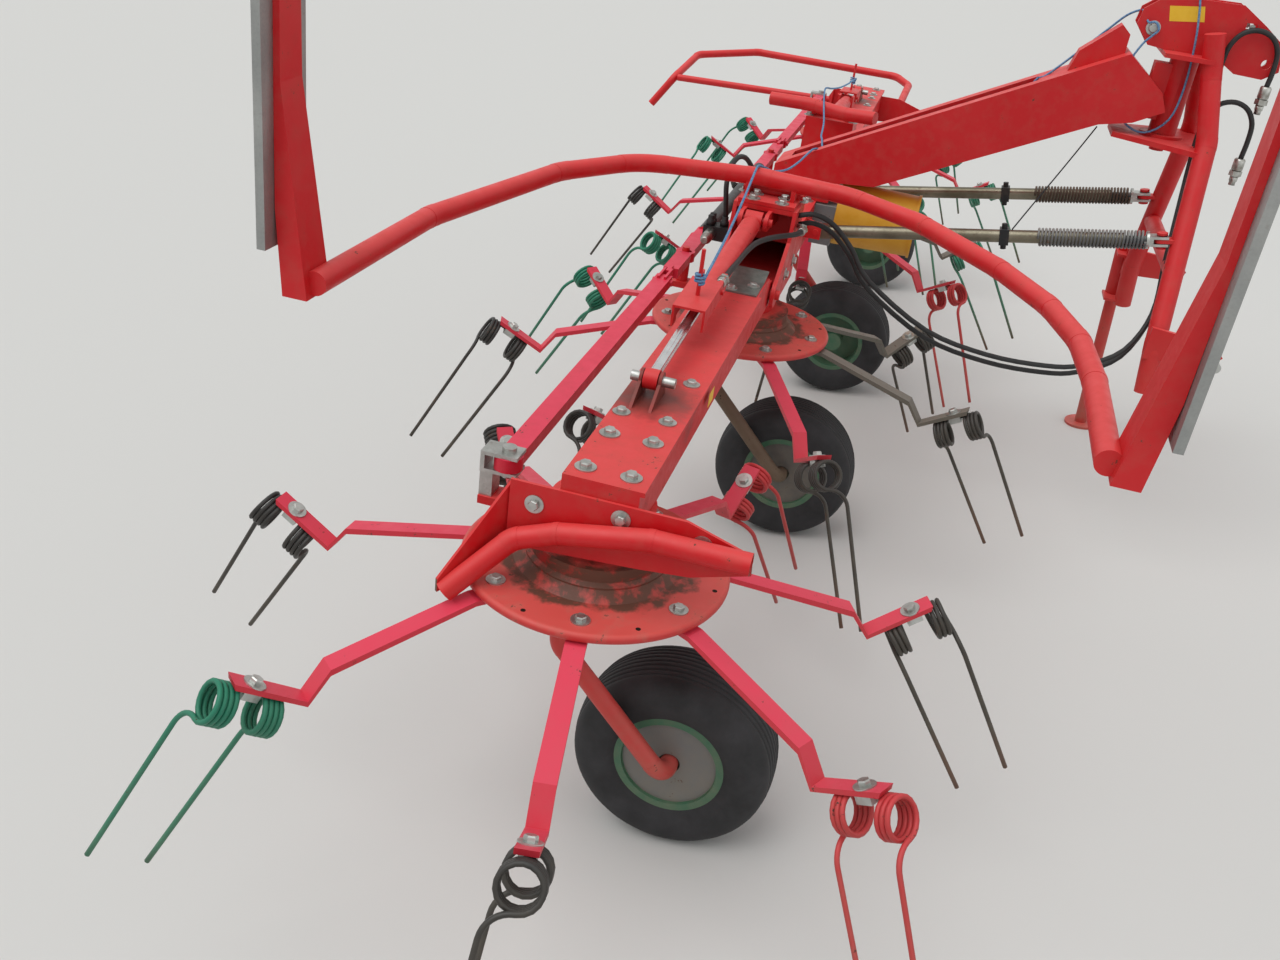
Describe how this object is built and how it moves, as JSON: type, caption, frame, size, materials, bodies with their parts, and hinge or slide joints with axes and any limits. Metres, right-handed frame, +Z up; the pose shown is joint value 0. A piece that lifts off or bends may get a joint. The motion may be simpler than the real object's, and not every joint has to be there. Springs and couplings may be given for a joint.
{
  "type": "hay tedder",
  "caption": "Mounted hay tedder with tined rotors on wheels, folding wings, swivelling three-point headstock, drive guard and parking jack.",
  "frame": {"origin": "on the floor below the middle of the machine's outline", "axes": "+X along the wings to the guarded wing, +Y towards the tractor, +Z up"},
  "size_m": [5.7302, 2.3234, 1.9768],
  "materials": {
    "red_paint": "satin",
    "arm_paint": "satin",
    "green_paint": "satin",
    "tine_steel": "satin",
    "black_paint": "satin",
    "zinc": "satin",
    "grey_paint": "satin",
    "tyre": "matt",
    "yellow_plastic": "matt",
    "gear_iron": "matt"
  },
  "bodies": {
    "frame": {"centre_frame": "red_paint", "gearbox": "gear_iron", "pto_guard": "yellow_plastic", "drawbar": "red_paint", "guard_left": "red_paint"},
    "wing_right": {"wing_beam_right": "red_paint", "end_guard_right": "red_paint", "cover_right": "grey_paint"},
    "wing_left": {"wing_beam_left": "red_paint", "end_guard_left": "red_paint", "cover_left": "grey_paint"},
    "guard": {"guard_right": "red_paint", "boards": "red_paint"},
    "headstock": {"headstock": "red_paint", "top_bracket": "red_paint"},
    "jack": {"jack_leg": "red_paint"},
    "rotor_1": {"plate_1": "red_paint", "arms_1": "arm_paint", "tines_1": "tine_steel"},
    "leg_1": {"leg_1": "red_paint"},
    "wheel_1": {"tyre_1": "tyre", "rim_1": "green_paint"},
    "rotor_2": {"plate_2": "red_paint", "arms_2": "arm_paint", "tines_2": "tine_steel"},
    "leg_2": {"leg_2": "red_paint"},
    "wheel_2": {"tyre_2": "tyre", "rim_2": "green_paint"},
    "rotor_3": {"plate_3": "red_paint", "arms_3": "arm_paint", "tines_3": "tine_steel"},
    "leg_3": {"leg_3": "red_paint"},
    "wheel_3": {"tyre_3": "tyre", "rim_3": "green_paint"},
    "rotor_4": {"plate_4": "red_paint", "arms_4": "arm_paint", "tines_4": "tine_steel"},
    "leg_4": {"leg_4": "red_paint"},
    "wheel_4": {"tyre_4": "tyre", "rim_4": "green_paint"},
    "barrel_right": {"barrel_right": "red_paint", "lock_right": "red_paint"},
    "piston_right": {"piston_right": "zinc"},
    "tie_right": {"tie_rod_right": "red_paint"},
    "damper_tube_right": {"damper_tube_right": "black_paint"},
    "damper_rod_right": {"damper_rod_right": "zinc", "spring_right": "black_paint"},
    "barrel_left": {"barrel_left": "red_paint", "lock_left": "red_paint"},
    "piston_left": {"piston_left": "zinc"},
    "tie_left": {"tie_rod_left": "red_paint"},
    "damper_tube_left": {"damper_tube_left": "black_paint"},
    "damper_rod_left": {"damper_rod_left": "zinc", "spring_left": "black_paint"},
    "tie_centre": {"tie_centre": "black_paint"}
  },
  "joints": [
    {"name": "fold_right", "type": "hinge", "parent": "frame", "child": "wing_right", "pos_m": [0.8381, -0.11566, 0.81277], "axis": [0, -0.9945, 0.1045], "range_deg": [0, 90]},
    {"name": "fold_left", "type": "hinge", "parent": "frame", "child": "wing_left", "pos_m": [-0.8519, -0.11566, 0.81277], "axis": [0, 0.9945, -0.1045], "range_deg": [0, 90]},
    {"name": "guard_fold", "type": "hinge", "parent": "frame", "child": "guard", "pos_m": [0.6011, -0.09538, 1.00571], "axis": [0, -0.9945, 0.1045], "range_deg": [0, 90]},
    {"name": "lift_right", "type": "hinge", "parent": "frame", "child": "barrel_right", "pos_m": [0.7431, -0.11739, 0.96378], "axis": [0, -0.9945, 0.1045], "range_deg": [0, 93.3]},
    {"name": "stroke_right", "type": "slide", "parent": "barrel_right", "child": "piston_right", "axis": [0.9984, -0.0059, -0.0565], "range_m": [-0.248, 0]},
    {"name": "lift_left", "type": "hinge", "parent": "frame", "child": "barrel_left", "pos_m": [-0.7569, -0.11739, 0.96378], "axis": [0, 0.9945, -0.1045], "range_deg": [0, 93.3]},
    {"name": "stroke_left", "type": "slide", "parent": "barrel_left", "child": "piston_left", "axis": [-0.9984, -0.0059, -0.0565], "range_m": [-0.248, 0]},
    {"name": "steer_1", "type": "hinge", "parent": "wing_right", "child": "leg_1", "pos_m": [1.9881, -0.15376, 0.61769], "axis": [0, 0.1045, 0.9945], "range_deg": [-15, 15]},
    {"name": "roll_1", "type": "hinge", "parent": "leg_1", "child": "wheel_1", "pos_m": [1.8981, -0.0063, 0.203], "axis": [1, 0, 0], "continuous": true},
    {"name": "spin_1", "type": "hinge", "parent": "wing_right", "child": "rotor_1", "pos_m": [1.9881, -0.14958, 0.65747], "axis": [0, 0.1045, 0.9945], "continuous": true},
    {"name": "steer_2", "type": "hinge", "parent": "frame", "child": "leg_2", "pos_m": [0.6581, -0.15376, 0.61769], "axis": [0, 0.1045, 0.9945], "range_deg": [-15, 15]},
    {"name": "roll_2", "type": "hinge", "parent": "leg_2", "child": "wheel_2", "pos_m": [0.5681, -0.0063, 0.203], "axis": [1, 0, 0], "continuous": true},
    {"name": "spin_2", "type": "hinge", "parent": "frame", "child": "rotor_2", "pos_m": [0.6581, -0.14958, 0.65747], "axis": [0, 0.1045, 0.9945], "continuous": true},
    {"name": "steer_3", "type": "hinge", "parent": "frame", "child": "leg_3", "pos_m": [-0.6719, -0.15376, 0.61769], "axis": [0, 0.1045, 0.9945], "range_deg": [-15, 15]},
    {"name": "roll_3", "type": "hinge", "parent": "leg_3", "child": "wheel_3", "pos_m": [-0.5819, -0.0063, 0.203], "axis": [1, 0, 0], "continuous": true},
    {"name": "spin_3", "type": "hinge", "parent": "frame", "child": "rotor_3", "pos_m": [-0.6719, -0.14958, 0.65747], "axis": [0, 0.1045, 0.9945], "continuous": true},
    {"name": "steer_4", "type": "hinge", "parent": "wing_left", "child": "leg_4", "pos_m": [-2.0019, -0.15376, 0.61769], "axis": [0, 0.1045, 0.9945], "range_deg": [-15, 15]},
    {"name": "roll_4", "type": "hinge", "parent": "leg_4", "child": "wheel_4", "pos_m": [-1.9119, -0.0063, 0.203], "axis": [1, 0, 0], "continuous": true},
    {"name": "spin_4", "type": "hinge", "parent": "wing_left", "child": "rotor_4", "pos_m": [-2.0019, -0.14958, 0.65747], "axis": [0, 0.1045, 0.9945], "continuous": true},
    {"name": "tie_centre_slide", "type": "slide", "parent": "frame", "child": "tie_centre", "axis": [1, 0, 0], "range_m": [-0.048, 0.048]},
    {"name": "tie_right_slide", "type": "slide", "parent": "wing_right", "child": "tie_right", "axis": [1, 0, 0], "range_m": [-0.048, 0.048]},
    {"name": "tie_left_slide", "type": "slide", "parent": "wing_left", "child": "tie_left", "axis": [1, 0, 0], "range_m": [-0.048, 0.048]},
    {"name": "swivel", "type": "hinge", "parent": "frame", "child": "headstock", "pos_m": [-0.0069, 0.91393, 1.20932], "axis": [0, 0.1045, 0.9945], "range_deg": [-12, 12]},
    {"name": "damper_right_turn", "type": "hinge", "parent": "frame", "child": "damper_tube_right", "pos_m": [0.2551, -0.01383, 0.82017], "axis": [-0.6773, 0.0769, 0.7317], "range_deg": [-1, 1]},
    {"name": "damper_right_slide", "type": "slide", "parent": "damper_tube_right", "child": "damper_rod_right", "axis": [0, 0.9977, 0.0684], "range_m": [-0.056, 0.056]},
    {"name": "damper_left_turn", "type": "hinge", "parent": "frame", "child": "damper_tube_left", "pos_m": [-0.2689, -0.01383, 0.82017], "axis": [0.6773, 0.0769, 0.7317], "range_deg": [-1, 1]},
    {"name": "damper_left_slide", "type": "slide", "parent": "damper_tube_left", "child": "damper_rod_left", "axis": [0, 0.9977, 0.0684], "range_m": [-0.056, 0.056]},
    {"name": "jack_slide", "type": "slide", "parent": "headstock", "child": "jack", "axis": [0.1067, 0.028, 0.9939], "range_m": [0, 0.25]}
  ],
  "couplings": [
    {"joint": "guard_fold", "follows": "fold_right", "ratio": 1},
    {"joint": "lift_right", "follows": "fold_right", "ratio": 1.0352},
    {"joint": "stroke_right", "follows": "fold_right", "m_per_rad": -0.15699},
    {"joint": "lift_left", "follows": "fold_left", "ratio": 1.0352},
    {"joint": "stroke_left", "follows": "fold_left", "m_per_rad": -0.15699},
    {"joint": "spin_2", "follows": "spin_1", "ratio": -1},
    {"joint": "spin_3", "follows": "spin_1", "ratio": 1},
    {"joint": "spin_4", "follows": "spin_1", "ratio": -1},
    {"joint": "steer_1", "follows": "steer_2", "ratio": 1},
    {"joint": "steer_3", "follows": "steer_2", "ratio": 1},
    {"joint": "steer_4", "follows": "steer_2", "ratio": 1},
    {"joint": "tie_centre_slide", "follows": "steer_2", "m_per_rad": 0.18},
    {"joint": "tie_right_slide", "follows": "steer_2", "m_per_rad": 0.18},
    {"joint": "tie_left_slide", "follows": "steer_2", "m_per_rad": 0.18},
    {"joint": "damper_right_turn", "follows": "swivel", "ratio": 0.070373},
    {"joint": "damper_right_slide", "follows": "swivel", "m_per_rad": 0.25646},
    {"joint": "damper_left_turn", "follows": "swivel", "ratio": 0.070373},
    {"joint": "damper_left_slide", "follows": "swivel", "m_per_rad": -0.25646}
  ]
}
